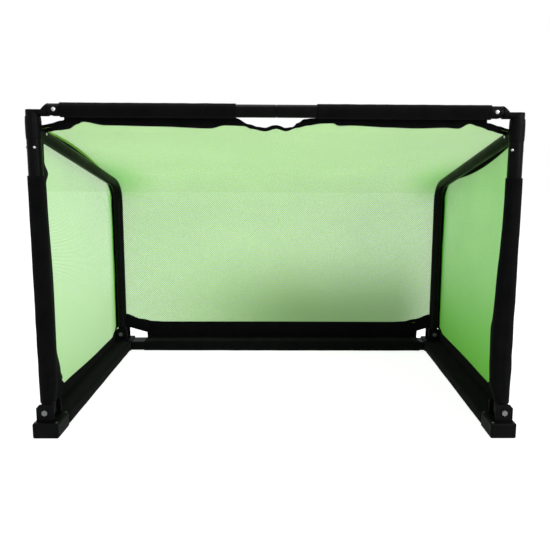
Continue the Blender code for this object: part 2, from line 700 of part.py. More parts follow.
def crossbar_ferrule(pivot):
    """The inner piece that the halves meet on. It stays in the left half."""
    left, right = -0.050, 0.032
    profile = [(0, right), (SPIGOT_R - 0.003, right), (SPIGOT_R, right - 0.006), (SPIGOT_R, left), (0, left)]
    return place(turned("crossbar_ferrule", profile, (0, POST_Y, CROSSBAR_Z), X_AXIS), "black_plastic", pivot)


# ---- roof and back net ----
def roof_back_net():
    inner = bent_path(NET_OFFSET - NET_T / 2, ROOF_NET_FRONT_Y, BACK_NET_LOW_Z)
    outer = bent_path(NET_OFFSET + NET_T / 2, ROOF_NET_FRONT_Y, BACK_NET_LOW_Z)
    width = 2 * (SIDE_NET_X + NET_T / 2)
    net = plate("roof_back_net", [band(inner, outer)], width, (0, 0, 0), X_AXIS, Y_AXIS)
    return place(net, "green_mesh")


def front_hem():
    """The black band that joins the roof net to the crossbar sleeves."""
    y = POST_Y + TUBE_R + FABRIC_T + GAP + 0.0012
    reach = CROSSBAR_SLEEVE_X[1] - 0.006
    hem = box("net_front_hem", (-reach, y, 0.766), (reach, y + 0.0015, CROSSBAR_Z - 0.005))
    return place(hem, "black_fabric")


def main():
    build_base()
    crossbar_pivots = {}
    for label, side in SIDES.items():
        crossbar_pivots[label] = build_crossbar(label, side, build_side_frame(label, side))
    crossbar_ferrule(crossbar_pivots["left"])
    roof_back_net()
    front_hem()


main()
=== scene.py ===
"""The looks of a folding training goal: cloth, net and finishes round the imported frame.

Metres, +X right, +Y from the mouth to the back, +Z up. Left is -X, seen from the front. Each sheet of
cloth is a grid of points, worked out from the frame's boxes and lofted. Where a pair differs, a table
holds its left and right values.
"""
import math

import bpy
from mathutils import Matrix, Vector, noise


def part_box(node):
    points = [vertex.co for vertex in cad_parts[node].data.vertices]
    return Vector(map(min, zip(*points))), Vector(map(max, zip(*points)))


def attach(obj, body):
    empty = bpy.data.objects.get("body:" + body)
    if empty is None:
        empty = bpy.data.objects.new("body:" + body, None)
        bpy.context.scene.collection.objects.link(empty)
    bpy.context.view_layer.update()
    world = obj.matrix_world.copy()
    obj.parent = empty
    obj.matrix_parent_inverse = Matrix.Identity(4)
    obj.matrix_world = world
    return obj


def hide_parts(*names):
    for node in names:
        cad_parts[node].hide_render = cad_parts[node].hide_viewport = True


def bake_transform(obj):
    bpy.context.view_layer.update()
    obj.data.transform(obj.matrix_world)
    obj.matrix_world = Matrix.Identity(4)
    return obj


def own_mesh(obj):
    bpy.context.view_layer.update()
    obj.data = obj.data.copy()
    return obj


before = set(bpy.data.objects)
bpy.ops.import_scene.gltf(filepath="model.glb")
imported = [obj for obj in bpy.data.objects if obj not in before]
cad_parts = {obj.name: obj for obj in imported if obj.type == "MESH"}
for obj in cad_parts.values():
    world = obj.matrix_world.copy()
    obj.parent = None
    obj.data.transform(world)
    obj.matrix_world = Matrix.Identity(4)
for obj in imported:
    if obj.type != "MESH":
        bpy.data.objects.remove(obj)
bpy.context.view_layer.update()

SIDES = {"left": -1, "right": 1}
TAU = 2 * math.pi


# ---- places read from the frame ----
def middle(node):
    low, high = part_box(node)
    return (low + high) / 2


POST = middle("post_right")
POST_R = (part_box("post_right")[1].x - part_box("post_right")[0].x) / 2
BAR_R = (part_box("crossbar_tube_right")[1].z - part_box("crossbar_tube_right")[0].z) / 2
BAR = middle("crossbar_tube_right")
SLEEVE_X = (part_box("crossbar_sleeve_right")[0].x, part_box("crossbar_sleeve_right")[1].x)
SLEEVE_Z = (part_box("post_sleeve_right")[0].z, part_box("post_sleeve_right")[1].z)
NET_LOW, NET_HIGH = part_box("roof_back_net")
SIDE_X = middle("side_net_right").x
SIDE_LOW_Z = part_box("side_net_right")[0].z
SIDE_FRONT_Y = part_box("side_net_right")[0].y
ARM_LOW, ARM_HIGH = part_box("base_side_bar_right")
REAR_BAR_LOW, REAR_BAR_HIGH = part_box("base_rear_bar")
INNER_X = SIDE_X - 0.0013       # black cloth that is sewn to the inner face of the side nets
BAND_Y = POST.y + BAR_R + 0.003         # the front hem, which hangs just behind the crossbar

# ---- the net's line over the tubes ----
ROOF_SLOPE = math.radians(13.8)
NET_BEND_R = 0.0885             # over the bent tubes
FREE_BEND_R = 0.200             # half way between them, where nothing holds the corner out
NET_FRONT = Vector((0, NET_LOW.y, NET_HIGH.z - 0.001))
NET_BACK_Y = NET_HIGH.y - 0.001
EASE_REACH = 0.085              # how far along its line the free net's bend is eased
EASE_ENDS = 0.2                 # the share of the line, at each end, over which the easing fades
ROOF_SHARE = 0.47               # the roof's share of the line, up to the bend
SEAM_RISE = {"left": 0.021, "right": 0.0}       # how far the roof's seam bows up over the tube
CLOTH_T = 0.0009                # the black cloth's thickness

# ---- how it is seen ----
CAMERA_AT = Vector((0.0172, -1.5825, 0.6721))
CAMERA_YAW = math.radians(0.667)
CAMERA_PITCH = math.radians(7.304)
CAMERA_ROLL = math.radians(0.305)
LENS_MM = 34.62
CAMERA_SHIFT = (-0.0263, -0.0749)


# ---- small tools ----
def lerp(a, b, t):
    return a + (b - a) * t


def smooth(t):
    t = min(max(t, 0.0), 1.0)
    return t * t * (3 - 2 * t)


def along(points, t):
    """The value at t on a line of (t, value) points, eased between them."""
    for (t0, v0), (t1, v1) in zip(points, points[1:]):
        if t <= t1:
            return lerp(v0, v1, smooth((t - t0) / (t1 - t0)))
    return points[-1][1]


def ripple(x, y, z=0.0, size=0.05):
    """Even noise from -1 to 1, with lumps of about `size` metres."""
    return noise.noise(Vector((x, y, z)) / size)


def loft(name, rows, material, thickness=CLOTH_T):
    """A sheet through rows of points, a single layer where its thickness is 0. Its UVs are the flat
    cloth's own metres."""
    count = len(rows[0])
    verts = [p for row in rows for p in row]
    faces = [(r * count + c, r * count + c + 1, (r + 1) * count + c + 1, (r + 1) * count + c)
             for r in range(len(rows) - 1) for c in range(count - 1)]
    mesh = bpy.data.meshes.new(name)
    mesh.from_pydata([tuple(v) for v in verts], [], faces)
    mesh.shade_smooth()
    centre_row, centre_column = rows[len(rows) // 2], [row[count // 2] for row in rows]
    u, v = running_length(centre_row), running_length(centre_column)
    layer = mesh.uv_layers.new(name="cloth")
    for loop in mesh.loops:
        r, c = divmod(loop.vertex_index, count)
        layer.data[loop.index].uv = (u[c], v[r])
    obj = bpy.data.objects.new(name, mesh)
    bpy.context.scene.collection.objects.link(obj)
    mesh.materials.append(material)
    if thickness:
        solidify = obj.modifiers.new("cloth", "SOLIDIFY")
        solidify.thickness = thickness
        solidify.offset = 0
    width = max(running_length(row)[-1] for row in rows)
    length = max(running_length(column)[-1] for column in zip(*rows))
    obj["flat"] = (width, length, sum(face.area for face in mesh.polygons))
    return obj


def running_length(points):
    """The length of a line of points up to each of them."""
    total, lengths = 0.0, [0.0]
    for a, b in zip(points, points[1:]):
        total += (b - a).length
        lengths.append(total)
    return lengths


# ---- materials ----
def new_material(name, colour, roughness, metallic=0.0, specular=0.5):
    material = bpy.data.materials.new(name)
    material.use_nodes = True
    shader = material.node_tree.nodes["Principled BSDF"]
    shader.inputs["Base Color"].default_value = (*colour, 1)
    shader.inputs["Roughness"].default_value = roughness
    shader.inputs["Metallic"].default_value = metallic
    shader.inputs["Specular IOR Level"].default_value = specular
    return material, material.node_tree, shader


def node(tree, kind, **settings):
    made = tree.nodes.new(kind)
    for key, value in settings.items():
        setattr(made, key, value)
    return made


def noise_at(tree, scale, detail=2.0, roughness=0.5, stretch=None):
    """Noise in the object's own metres."""
    coords = node(tree, "ShaderNodeTexCoord").outputs["Object"]
    if stretch:
        mapping = node(tree, "ShaderNodeMapping")
        mapping.inputs["Scale"].default_value = stretch
        tree.links.new(coords, mapping.inputs["Vector"])
        coords = mapping.outputs["Vector"]
    texture = node(tree, "ShaderNodeTexNoise")
    texture.inputs["Scale"].default_value = scale
    texture.inputs["Detail"].default_value = detail
    texture.inputs["Roughness"].default_value = roughness
    tree.links.new(coords, texture.inputs["Vector"])
    return texture.outputs["Fac"]


def mapped(tree, value, low, high, from_low=0.0, from_high=1.0):
    """low where value is from_low, high where it is from_high, and even steps between."""
    mapping = node(tree, "ShaderNodeMapRange")
    mapping.inputs["From Min"].default_value = from_low
    mapping.inputs["From Max"].default_value = from_high
    mapping.inputs["To Min"].default_value = low
    mapping.inputs["To Max"].default_value = high
    tree.links.new(value, mapping.inputs["Value"])
    return mapping.outputs["Result"]


def mixed_colour(tree, factor, a, b):
    mix = node(tree, "ShaderNodeMix", data_type="RGBA")
    mix.inputs["A"].default_value = (*a, 1)
    mix.inputs["B"].default_value = (*b, 1)
    tree.links.new(factor, mix.inputs["Factor"])
    return mix.outputs["Result"]


def scaled(colour, factor):
    return tuple(c * factor for c in colour)


def maths(tree, operation, a, b=None):
    made = node(tree, "ShaderNodeMath", operation=operation)
    for socket, value in zip(made.inputs, (a, b)):
        if isinstance(value, (int, float)):
            socket.default_value = value
        elif value is not None:
            tree.links.new(value, socket)
    return made.outputs["Value"]


def bump(tree, shader, height, strength, distance):
    made = node(tree, "ShaderNodeBump")
    made.inputs["Strength"].default_value = strength
    made.inputs["Distance"].default_value = distance
    tree.links.new(height, made.inputs["Height"])
    tree.links.new(made.outputs["Normal"], shader.inputs["Normal"])
    return made.outputs["Normal"]


def powder_coat(name, colour, roughness):
    """Baked black paint: a fine orange peel, and patches where hands have polished it."""
    material, tree, shader = new_material(name, colour, roughness, specular=0.06)
    wear = mapped(tree, noise_at(tree, 9, 4, 0.6), roughness - 0.07, roughness + 0.12, 0.3, 0.7)
    tree.links.new(wear, shader.inputs["Roughness"])
    dust = mapped(tree, noise_at(tree, 35, 5, 0.7), 0, 1, 0.45, 0.8)
    tree.links.new(mixed_colour(tree, dust, colour, scaled(colour, 2.2)), shader.inputs["Base Color"])
    bump(tree, shader, noise_at(tree, 1100, 2), 0.35, 0.0002)
    return material


def moulded_plastic(name, colour):
    """Fibre-filled nylon with a spark-eroded grain."""
    material, tree, shader = new_material(name, colour, 0.5, specular=0.06)
    tree.links.new(mapped(tree, noise_at(tree, 40, 3), 0.38, 0.58), shader.inputs["Roughness"])
    clouds = mapped(tree, noise_at(tree, 18, 4), 0, 1, 0.4, 0.75)
    tree.links.new(mixed_colour(tree, clouds, colour, scaled(colour, 1.7)), shader.inputs["Base Color"])
    bump(tree, shader, noise_at(tree, 1700, 3, 0.65), 0.5, 0.0003)
    return material


def plated_steel(name, colour, roughness):
    """Zinc plate: a soft grey with faint clouds and turning marks."""
    material, tree, shader = new_material(name, colour, roughness, metallic=1.0)
    grain = mapped(tree, noise_at(tree, 260, 3), roughness - 0.08, roughness + 0.14)
    tree.links.new(grain, shader.inputs["Roughness"])
    clouds = mixed_colour(tree, noise_at(tree, 120, 2), scaled(colour, 0.75), colour)
    tree.links.new(clouds, shader.inputs["Base Color"])
    bump(tree, shader, noise_at(tree, 900, 1, 0.5, (1, 6, 1)), 0.2, 0.0001)
    return material


def thread_wave(tree, coordinate, pitch):
    """A sine from 0 to 1 along one coordinate of the flat cloth."""
    turned = maths(tree, "SINE", maths(tree, "MULTIPLY", coordinate, TAU / pitch))
    return maths(tree, "ADD", maths(tree, "MULTIPLY", turned, 0.5), 0.5)


def cloth_coordinates(tree, turn_deg=0.0):
    """The flat cloth's two coordinates in metres, turned in its own plane."""
    mapping = node(tree, "ShaderNodeMapping")
    mapping.inputs["Rotation"].default_value = (0, 0, math.radians(turn_deg))
    tree.links.new(node(tree, "ShaderNodeUVMap", uv_map="cloth").outputs["UV"], mapping.inputs["Vector"])
    split = node(tree, "ShaderNodeSeparateXYZ")
    tree.links.new(mapping.outputs["Vector"], split.inputs["Vector"])
    return split.outputs["X"], split.outputs["Y"]


def black_cloth(name, colour):
    """Plain-woven polyester: ribs both ways, and lint that catches the light."""
    material, tree, shader = new_material(name, colour, 0.85, specular=0.03)
    across, down = cloth_coordinates(tree)
    rib = 0.0011
    weave = maths(tree, "MULTIPLY", thread_wave(tree, across, rib), thread_wave(tree, down, rib))
    lint = mapped(tree, noise_at(tree, 22, 5, 0.65), 0, 1, 0.35, 0.75)
    tree.links.new(mixed_colour(tree, lint, colour, scaled(colour, 2.0)), shader.inputs["Base Color"])
    shader.inputs["Sheen Weight"].default_value = 0.02
    shader.inputs["Sheen Roughness"].default_value = 0.5
    bump(tree, shader, weave, 0.5, 0.0004)
    return material


def eased(tree, coordinate, start, end):
    """0 before start and 1 past end, along one coordinate in metres."""
    mapping = node(tree, "ShaderNodeMapRange", interpolation_type="SMOOTHSTEP")
    mapping.inputs["From Min"].default_value = start
    mapping.inputs["From Max"].default_value = end
    tree.links.new(coordinate, mapping.inputs["Value"])
    return mapping.outputs["Result"]


# Each of these four masks takes a net's two flat coordinates, in metres, and some need only one.
def rear_gather(tree, across, down):
    """Where a side panel is bunched towards its rear seam, from which `across` runs."""
    return eased(tree, across, 0.105, 0.008)


def corner_gather(tree, across, down):
    """Where the roof and back sheet is pulled tight over the bends of the two side frames."""
    near_side = mapped(tree, eased(tree, across, SIDE_X - 0.20, SIDE_X), 0.0, 0.62)
    over_bend = maths(tree, "MULTIPLY", eased(tree, down, 0.20, 0.56), eased(tree, down, 0.70, 0.60))
    return maths(tree, "MULTIPLY", near_side, over_bend)


def side_shade(tree, across, down):
    """Painted shade on the lower part of a side panel, which grows darker and less open towards the
    bottom.
    """
    return eased(tree, down, 0.46, 0.0)


def back_shade(tree, across, down):
    """Painted shade on the lower back, most of all right of the middle."""
    split = node(tree, "ShaderNodeSeparateXYZ")
    tree.links.new(node(tree, "ShaderNodeTexCoord").outputs["Object"], split.inputs["Vector"])
    from_left = mapped(tree, eased(tree, split.outputs["X"], -0.56, 0.12), 0.12, 1.0)
    to_right = mapped(tree, eased(tree, split.outputs["X"], 0.42, 0.60), 1.0, 0.35)
    lower = eased(tree, down, 0.76, 1.10)
    return maths(tree, "MULTIPLY", lower, maths(tree, "MULTIPLY", from_left, to_right))


def knitted_mesh(name, deep, pale, openness, gather, shade, close):
    """Fine green warp-knit net: rows of small diamond holes between threads that let light through.
    Where it is gathered it lies double, so its holes close and its green deepens. Where `shade` is 1 the
    knit carries a painted shade: its colour darkens and its holes shut, and `close` is what is left there
    of the holes and of the brightness."""
    pitch, turn_deg, see_through = 0.0050, 42, 0.45
    doubled = (deep[0] * 0.42, deep[1] * 0.95, deep[2] * 0.30)
    material, tree, shader = new_material(name, deep, 0.62, specular=0.2)
    flat_across, flat_down = cloth_coordinates(tree)
    bunched = gather(tree, flat_across, flat_down)
    shaded = shade(tree, flat_across, flat_down)
    across, down = cloth_coordinates(tree, turn_deg)
    cell = maths(tree, "MULTIPLY", thread_wave(tree, across, pitch), thread_wave(tree, down, pitch))
    yarn = mapped(tree, noise_at(tree, 190, 3, 0.7), 0, 1, 0.32, 0.68)
    patches = mapped(tree, noise_at(tree, 4.5, 3, 0.55), 0, 1, 0.3, 0.7)
    tone = maths(tree, "ADD", maths(tree, "MULTIPLY", yarn, 0.5), maths(tree, "MULTIPLY", patches, 0.5))
    dye = node(tree, "ShaderNodeMix", data_type="RGBA")
    tree.links.new(bunched, dye.inputs["Factor"])
    tree.links.new(mixed_colour(tree, tone, deep, pale), dye.inputs["A"])
    dye.inputs["B"].default_value = (*doubled, 1)
    # Painted shade: the knit's colour is darkened where `shade` is 1.
    shadow = node(tree, "ShaderNodeMix", data_type="RGBA")
    tree.links.new(shaded, shadow.inputs["Factor"])
    tree.links.new(dye.outputs["Result"], shadow.inputs["A"])
    shadow.inputs["B"].default_value = (*scaled(deep, close[1]), 1)
    colour = shadow.outputs["Result"]
    tree.links.new(colour, shader.inputs["Base Color"])
    bump(tree, shader, cell, 0.4, 0.0006)
    through = node(tree, "ShaderNodeBsdfTranslucent")
    tree.links.new(colour, through.inputs["Color"])
    lit = node(tree, "ShaderNodeMixShader")
    lit.inputs["Fac"].default_value = see_through
    tree.links.new(shader.outputs["BSDF"], lit.inputs[1])
    tree.links.new(through.outputs["BSDF"], lit.inputs[2])
    hole = mapped(tree, cell, 0.0, openness, 0.0, 0.60)
    # The painted shade also shuts holes, so less of the white beyond shows through.
    shut = maths(tree, "MULTIPLY", mapped(tree, bunched, 1.0, 0.15), mapped(tree, shaded, 1.0, close[0]))
    clear = node(tree, "ShaderNodeBsdfTransparent")
    cover = node(tree, "ShaderNodeMixShader")
    tree.links.new(maths(tree, "MULTIPLY", hole, shut), cover.inputs["Fac"])
    tree.links.new(lit.outputs["Shader"], cover.inputs[1])
    tree.links.new(clear.outputs["BSDF"], cover.inputs[2])
    tree.links.new(cover.outputs["Shader"], tree.nodes["Material Output"].inputs["Surface"])
    return material


FINISHES = {
    "black_tube": powder_coat("satin_powder_coat", (0.0020, 0.0020, 0.0022), 0.32),
    "black_bracket": powder_coat("bracket_coat", (0.0024, 0.0024, 0.0026), 0.40),
    "black_plastic": moulded_plastic("black_nylon", (0.0020, 0.0020, 0.0022)),
    "bolt_steel": plated_steel("zinc_grey", (0.30, 0.30, 0.31), 0.45),
    "screw_steel": plated_steel("bright_zinc", (0.78, 0.77, 0.75), 0.3),
    "black_fabric": black_cloth("black_polyester", (0.0020, 0.0020, 0.0022)),
    # The roof and back knit, with a painted shade on its lower back.
    "green_mesh": knitted_mesh("green_knit", (0.22, 0.60, 0.055), (0.34, 0.77, 0.12), 0.84,
                               corner_gather, back_shade, close=(0.30, 0.52)),
}
DULL_ZINC = plated_steel("dull_zinc", (0.10, 0.10, 0.10), 0.5)     # the feet's screws, darker and duller than the other screws
LIT_AND_SHADED_SIDE_KNITS = {                  # lit and shaded copies of one knit: painted light on the left panel, painted shade on the right one, which is darker and less open
    "left": knitted_mesh("green_knit_lit_left", (0.27, 0.72, 0.09), (0.37, 0.86, 0.17), 0.98,
                         rear_gather, side_shade, close=(0.66, 0.94)),
    "right": knitted_mesh("green_knit_shaded_right", (0.14, 0.53, 0.038), (0.23, 0.65, 0.09), 0.44,
                          rear_gather, side_shade, close=(0.12, 0.86)),
}


def finish_cad_nodes():
    """The frame's nodes keep their shapes and get their slot's finish, or a duller one on the feet."""
    for name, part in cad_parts.items():
        look = part.data.materials[0].name.split(".")[0]
        part.material_slots[0].material = DULL_ZINC if name.startswith("foot_screw") else FINISHES[look]


# ---- the net ----
def net_line(bend_r, t):
    """(y, z) on the net's line over a bend of radius bend_r: t is 0 at the front hem and 1 at the
    rear skirt."""
    turn = math.pi / 2 - ROOF_SLOPE
    reach = bend_r * math.tan(turn / 2)
    corner_z = NET_FRONT.z - math.tan(ROOF_SLOPE) * (NET_BACK_Y - NET_FRONT.y)
    roof = (NET_BACK_Y - NET_FRONT.y) / math.cos(ROOF_SLOPE) - reach
    bend = bend_r * turn
    back = corner_z - reach - NET_LOW.z
    s = t * (roof + bend + back)
    if s < roof:
        return NET_FRONT.y + s * math.cos(ROOF_SLOPE), NET_FRONT.z - s * math.sin(ROOF_SLOPE)
    if s < roof + bend:
        angle = math.pi / 2 - ROOF_SLOPE - (s - roof) / bend_r
        return NET_BACK_Y - bend_r + bend_r * math.cos(angle), corner_z - reach + bend_r * math.sin(angle)
    return NET_BACK_Y, corner_z - reach - (s - roof - bend)


def eased_net_line(bend_r, t, free):
    """The net's line with its bend eased into the flats, where no tube holds the cloth to a round."""
    reach = EASE_REACH * free * min(max(t, 0.0) / EASE_ENDS, (1 - t) / EASE_ENDS, 1.0)
    steps = 4
    weights = [steps + 1 - abs(i) for i in range(-steps, steps + 1)]
    spots = [net_line(bend_r, t + reach * i / steps) for i in range(-steps, steps + 1)]
    total = sum(weights)
    return tuple(sum(w * spot[axis] for w, spot in zip(weights, spots)) / total for axis in (0, 1))


CENTRE_TOP = {                  # (|x|, z) of the hem's upper edge across the bare middle of the bar
    "left": [(0.0, 0.7695), (0.006, 0.7690), (0.028, 0.7630), (0.044, 0.7650), (0.066, 0.7710),
             (0.097, 0.7850), (0.106, 0.7865)],
    "right": [(0.0, 0.7695), (0.006, 0.7680), (0.021, 0.7630), (0.038, 0.7650), (0.051, 0.7750),
              (0.067, 0.7840), (0.086, 0.7860), (0.106, 0.7870)],
}
CENTRE_LOW = {                  # (|x|, z) of its lower edge there
    "left": [(0.0, 0.7605), (0.028, 0.7545), (0.061, 0.7600), (0.078, 0.7665), (0.106, 0.7672)],
    "right": [(0.0, 0.7605), (0.022, 0.7550), (0.050, 0.7630), (0.075, 0.7685), (0.106, 0.7730)],
}
STRAP_TOP = {                   # (|x|, z) of the upper edges of the straps out to the bent tubes
    "left": [(0.494, 0.7850), (0.514, 0.7770), (0.541, 0.7705), (0.572, 0.7670)],
    "right": [(0.494, 0.7850), (0.511, 0.7770), (0.538, 0.7700), (0.572, 0.7640)],
}
STRAP_LOW = {                   # (|x|, z) of their lower edges
    "left": [(0.494, 0.7570), (0.520, 0.7540), (0.547, 0.7510), (0.572, 0.7470)],
    "right": [(0.494, 0.7665), (0.515, 0.7590), (0.541, 0.7525), (0.572, 0.7460)],
}
HEM_MIDDLE_Z = 0.7790           # of the net's front edge behind the sleeves
HEM_MIDDLE_X = 0.070            # from here out it rises from the droop in the middle
HEM_STRAP_X = 0.470             # from here out it comes down to the straps
HEM_EASE = 0.035                # over this length


def seam_arch(t):
    """0 at both ends of the roof and 1 half way."""
    return math.sin(math.pi * t / ROOF_SHARE) if 0 < t < ROOF_SHARE else 0.0


def hem_z(label, x):
    """Height of the net's front edge, which is sewn to the hem and to the straps."""
    droop_z = (along(CENTRE_TOP[label], x) + along(CENTRE_LOW[label], x)) / 2
    strap_z = (along(STRAP_TOP[label], x) + along(STRAP_LOW[label], x)) / 2
    z = lerp(droop_z, HEM_MIDDLE_Z, smooth((x - HEM_MIDDLE_X) / HEM_EASE))
    return lerp(z, strap_z, smooth((x - HEM_STRAP_X) / HEM_EASE))


def roof_back_net(label, side):
    """Half of the sheet that runs from the crossbar over the bend to the rear skirt."""
    columns, rows = 64, 120
    front, hem_end = -0.0015, 0.035     # the line's first point, and where the hem lets the sheet go
    turn = 0.5                          # where the sag of the roof ends and the lean of the back starts
    sag_depth, lean_depth, pleat_depth, loose_depth = 0.016, 0.010, 0.0026, 0.0022

    def point(u, t):
        """u is 0 in the middle and 1 at the side, and t runs along the net's line."""
        x = u * SIDE_X
        free = smooth((1 - u) / 0.8)
        y, z = eased_net_line(lerp(NET_BEND_R, FREE_BEND_R, free), t, free)
        span = (1 - u * u)
        sag = sag_depth * span * math.sin(math.pi * min(max(t, 0.0) / turn, 1.0))
        lean = lean_depth * span * math.sin(math.pi * max((t - turn) / (1 - turn), 0.0))
        near_seam = math.exp(-(1 - u) / 0.12)
        over_bend = math.exp(-((t - 0.52) / 0.12) ** 2)
        pleats = pleat_depth * near_seam * smooth((1 - u) / 0.04) * math.sin(t * 95) * over_bend
        loose = loose_depth * ripple(side * x, y, z, 0.11) * min(1.0, 6 * (1 - u) + 0.15)
        rise = SEAM_RISE[label] * seam_arch(t) * math.exp(-(1 - u) / 0.07)
        z += loose + rise + pleats - sag
        z = lerp(z, hem_z(label, x), smooth((hem_end - t) / hem_end))
        return Vector((side * x, y - lean - loose * 0.6, z))

    grid = [[point(c / columns, lerp(front, 1, r / rows)) for c in range(columns + 1)]
            for r in range(rows + 1)]
    net = loft(f"roof_back_net_{label}", grid, FINISHES["green_mesh"], 0)
    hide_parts("roof_back_net")
    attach(net, "base")
    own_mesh(net)


def side_top_z(y):
    """Height of the side net's seam above a place along the side frame."""
    turn = math.pi / 2 - ROOF_SLOPE
    reach = NET_BEND_R * math.tan(turn / 2)
    corner_z = NET_FRONT.z - math.tan(ROOF_SLOPE) * (NET_BACK_Y - NET_FRONT.y)
    centre_y, centre_z = NET_BACK_Y - NET_BEND_R, corner_z - reach
    if y < centre_y + NET_BEND_R * math.sin(ROOF_SLOPE):
        return NET_FRONT.z - math.tan(ROOF_SLOPE) * (y - NET_FRONT.y)
    return centre_z + math.sqrt(max(NET_BEND_R ** 2 - (y - centre_y) ** 2, 0.0))


SKIRT_TOP = {                   # (y, z) of the side skirts' upper edges
    "left": [(-0.26, 0.092), (-0.185, 0.090), (-0.158, 0.067), (0.088, 0.0595), (0.255, 0.0595),
             (0.287, 0.074), (0.328, 0.118)],
    "right": [(-0.26, 0.092), (-0.190, 0.090), (-0.165, 0.071), (0.03, 0.074), (0.262, 0.0725),
              (0.290, 0.082), (0.340, 0.124)],
}
FIN_EDGE = {                    # (z, y) of the post sleeves' rear edges
    "left": [(0.060, -0.162), (0.085, -0.168), (0.109, -0.178), (0.180, -0.196), (0.344, -0.194),
             (0.590, -0.205), (0.625, -0.206), (0.649, -0.192), (0.678, -0.210), (0.740, -0.209)],
    "right": [(0.060, -0.176), (0.137, -0.166), (0.222, -0.162), (0.315, -0.191), (0.450, -0.202),
              (0.508, -0.204), (0.574, -0.207), (0.639, -0.217), (0.740, -0.211)],
}


def side_net(label, side):
    """The panel outside one side frame, tucked behind the post's sleeve and the side skirt."""
    columns, rows = 70, 66
    front_y = SIDE_FRONT_Y - 0.010
    bend_y = NET_BACK_Y - NET_BEND_R
    bend_z = side_top_z(bend_y)
    straight = 0.72                     # the columns' share in front of the bend
    elbow_z = 0.745                     # the front top corner stops under the elbow
    bulge_depth, loose_depth, crease_depth = 0.005, 0.0025, 0.0040

    def column_y(u):
        if u < straight:
            return lerp(front_y, bend_y, u / straight)
        return bend_y + NET_BEND_R * math.sin((u - straight) / (1 - straight) * math.pi / 2)

    def point(u, v):
        """u is 0 at the front and 1 at the rear seam, and v is 0 at the bottom and 1 at the top."""
        y = column_y(u)
        share = (y - NET_FRONT.y) / (NET_BACK_Y - NET_FRONT.y) * ROOF_SHARE
        low, high = SIDE_LOW_Z - 0.016, side_top_z(y) - 0.001 + 0.5 * SEAM_RISE[label] * seam_arch(share)
        if y < SIDE_FRONT_Y + 0.05:
            high = min(high, elbow_z)
        z = lerp(low, high, v)
        inner = math.sin(math.pi * min(max(u, 0), 1)) * math.sin(math.pi * v)
        bulge = bulge_depth * inner + loose_depth * ripple(y, z, side * 3, 0.13) * inner ** 0.5
        bulge *= smooth((y - along(FIN_EDGE[label], z)) / 0.06)     # flat where the sleeve is sewn on
        away = math.hypot(y - bend_y, z - bend_z)
        fan = math.atan2(bend_z - z, bend_y - y + 0.001)
        below_bend = math.exp(-((away - 0.085) / 0.05) ** 2) if fan > 0 else 0.0
        creases = crease_depth * math.sin(fan * 13) * below_bend
        return Vector((side * (SIDE_X - bulge + creases * inner ** 0.4), y, z))

    grid = [[point(1 - c / columns, r / rows) for c in range(columns + 1)] for r in range(rows + 1)]
    net = loft(f"side_net_panel_{label}", grid, LIT_AND_SHADED_SIDE_KNITS[label], 0)
    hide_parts(f"side_net_{label}")
    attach(net, f"side_{label}")


# ---- black cloth ----
def ring(centre, radius, start_deg, end_deg, steps):
    """Points round a centre in a plane, as (across, up) pairs."""
    for i in range(steps + 1):
        a = math.radians(lerp(start_deg, end_deg, i / steps))
        yield centre[0] + radius * math.cos(a), centre[1] + radius * math.sin(a)


def post_sleeve(label, side):
    """Cloth wrapped round the post, with a flap back to the side net. The flap goes on above the
    sleeve as a narrow strip up to the elbow. The sleeve bags inwards low down, and lies close to the
    post just above the clevis."""
    rows, fin_points, turn_points, strip_points = 100, 7, 30, 24
    low_z, high_z = SLEEVE_Z
    close_to, looser = 0.0014, 0.0006       # from the post at the clevis, and how much more above it
    bag_depth, fold_depth, wave_depth = 0.0125, 0.0010, 0.0012
    bag_start, bag_turn, bag_size = {"left": (-150, 170, 0.35), "right": (-120, 170, 1.0)}[label]
    strip_top_z = 0.728
    grid = []
    for r in range(rows + 1):
        z = lerp(low_z, high_z, r / rows)
        edge_y = along(FIN_EDGE[label], z)
        low_down = smooth((0.60 - z) / 0.36) * lerp(0.55, 1.0, smooth((z - low_z) / 0.06)) * bag_size
        free = smooth((z - low_z) / 0.04)
        section = []
        for i in range(fin_points + 1):
            t = i / fin_points
            x = lerp(INNER_X, POST.x + POST_R + 0.0018, t)
            wave = wave_depth * math.sin(math.pi * t) * ripple(z, t, side, 0.05)
            section.append(Vector((side * (x + wave), lerp(edge_y, POST.y + 0.004, t), z)))
        for i in range(turn_points + 1):
            turn = lerp(8, -348, i / turn_points)
            bag = math.sin(math.pi * min(max((bag_start - turn) / bag_turn, 0.0), 1.0))
            across, up = math.cos(math.radians(turn)), math.sin(math.radians(turn))
            fold = fold_depth * ripple(across * 0.02, up * 0.02, z * 0.35 + side, 0.016)
            stand_off = looser + bag_depth * bag * low_down + fold * (0.4 + low_down)
            radius = POST_R + close_to + free * stand_off
            section.append(Vector((side * (POST.x + radius * across), POST.y + radius * up, z)))
        grid.append(section)
    sleeve = loft(f"post_sleeve_cloth_{label}", grid, FINISHES["black_fabric"])
    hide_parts(f"post_sleeve_{label}")
    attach(sleeve, f"side_{label}")

    strip = []
    for r in range(strip_points + 1):
        z = lerp(high_z - 0.004, strip_top_z, r / strip_points)
        edge_y = along(FIN_EDGE[label], z)
        strip.append([Vector((side * lerp(INNER_X, POST.x + POST_R - 0.001, i / 6),
                              lerp(edge_y, POST.y + 0.010, i / 6), z)) for i in range(7)])
    flap = loft(f"net_front_strip_{label}", strip, FINISHES["black_fabric"])
    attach(flap, f"side_{label}")


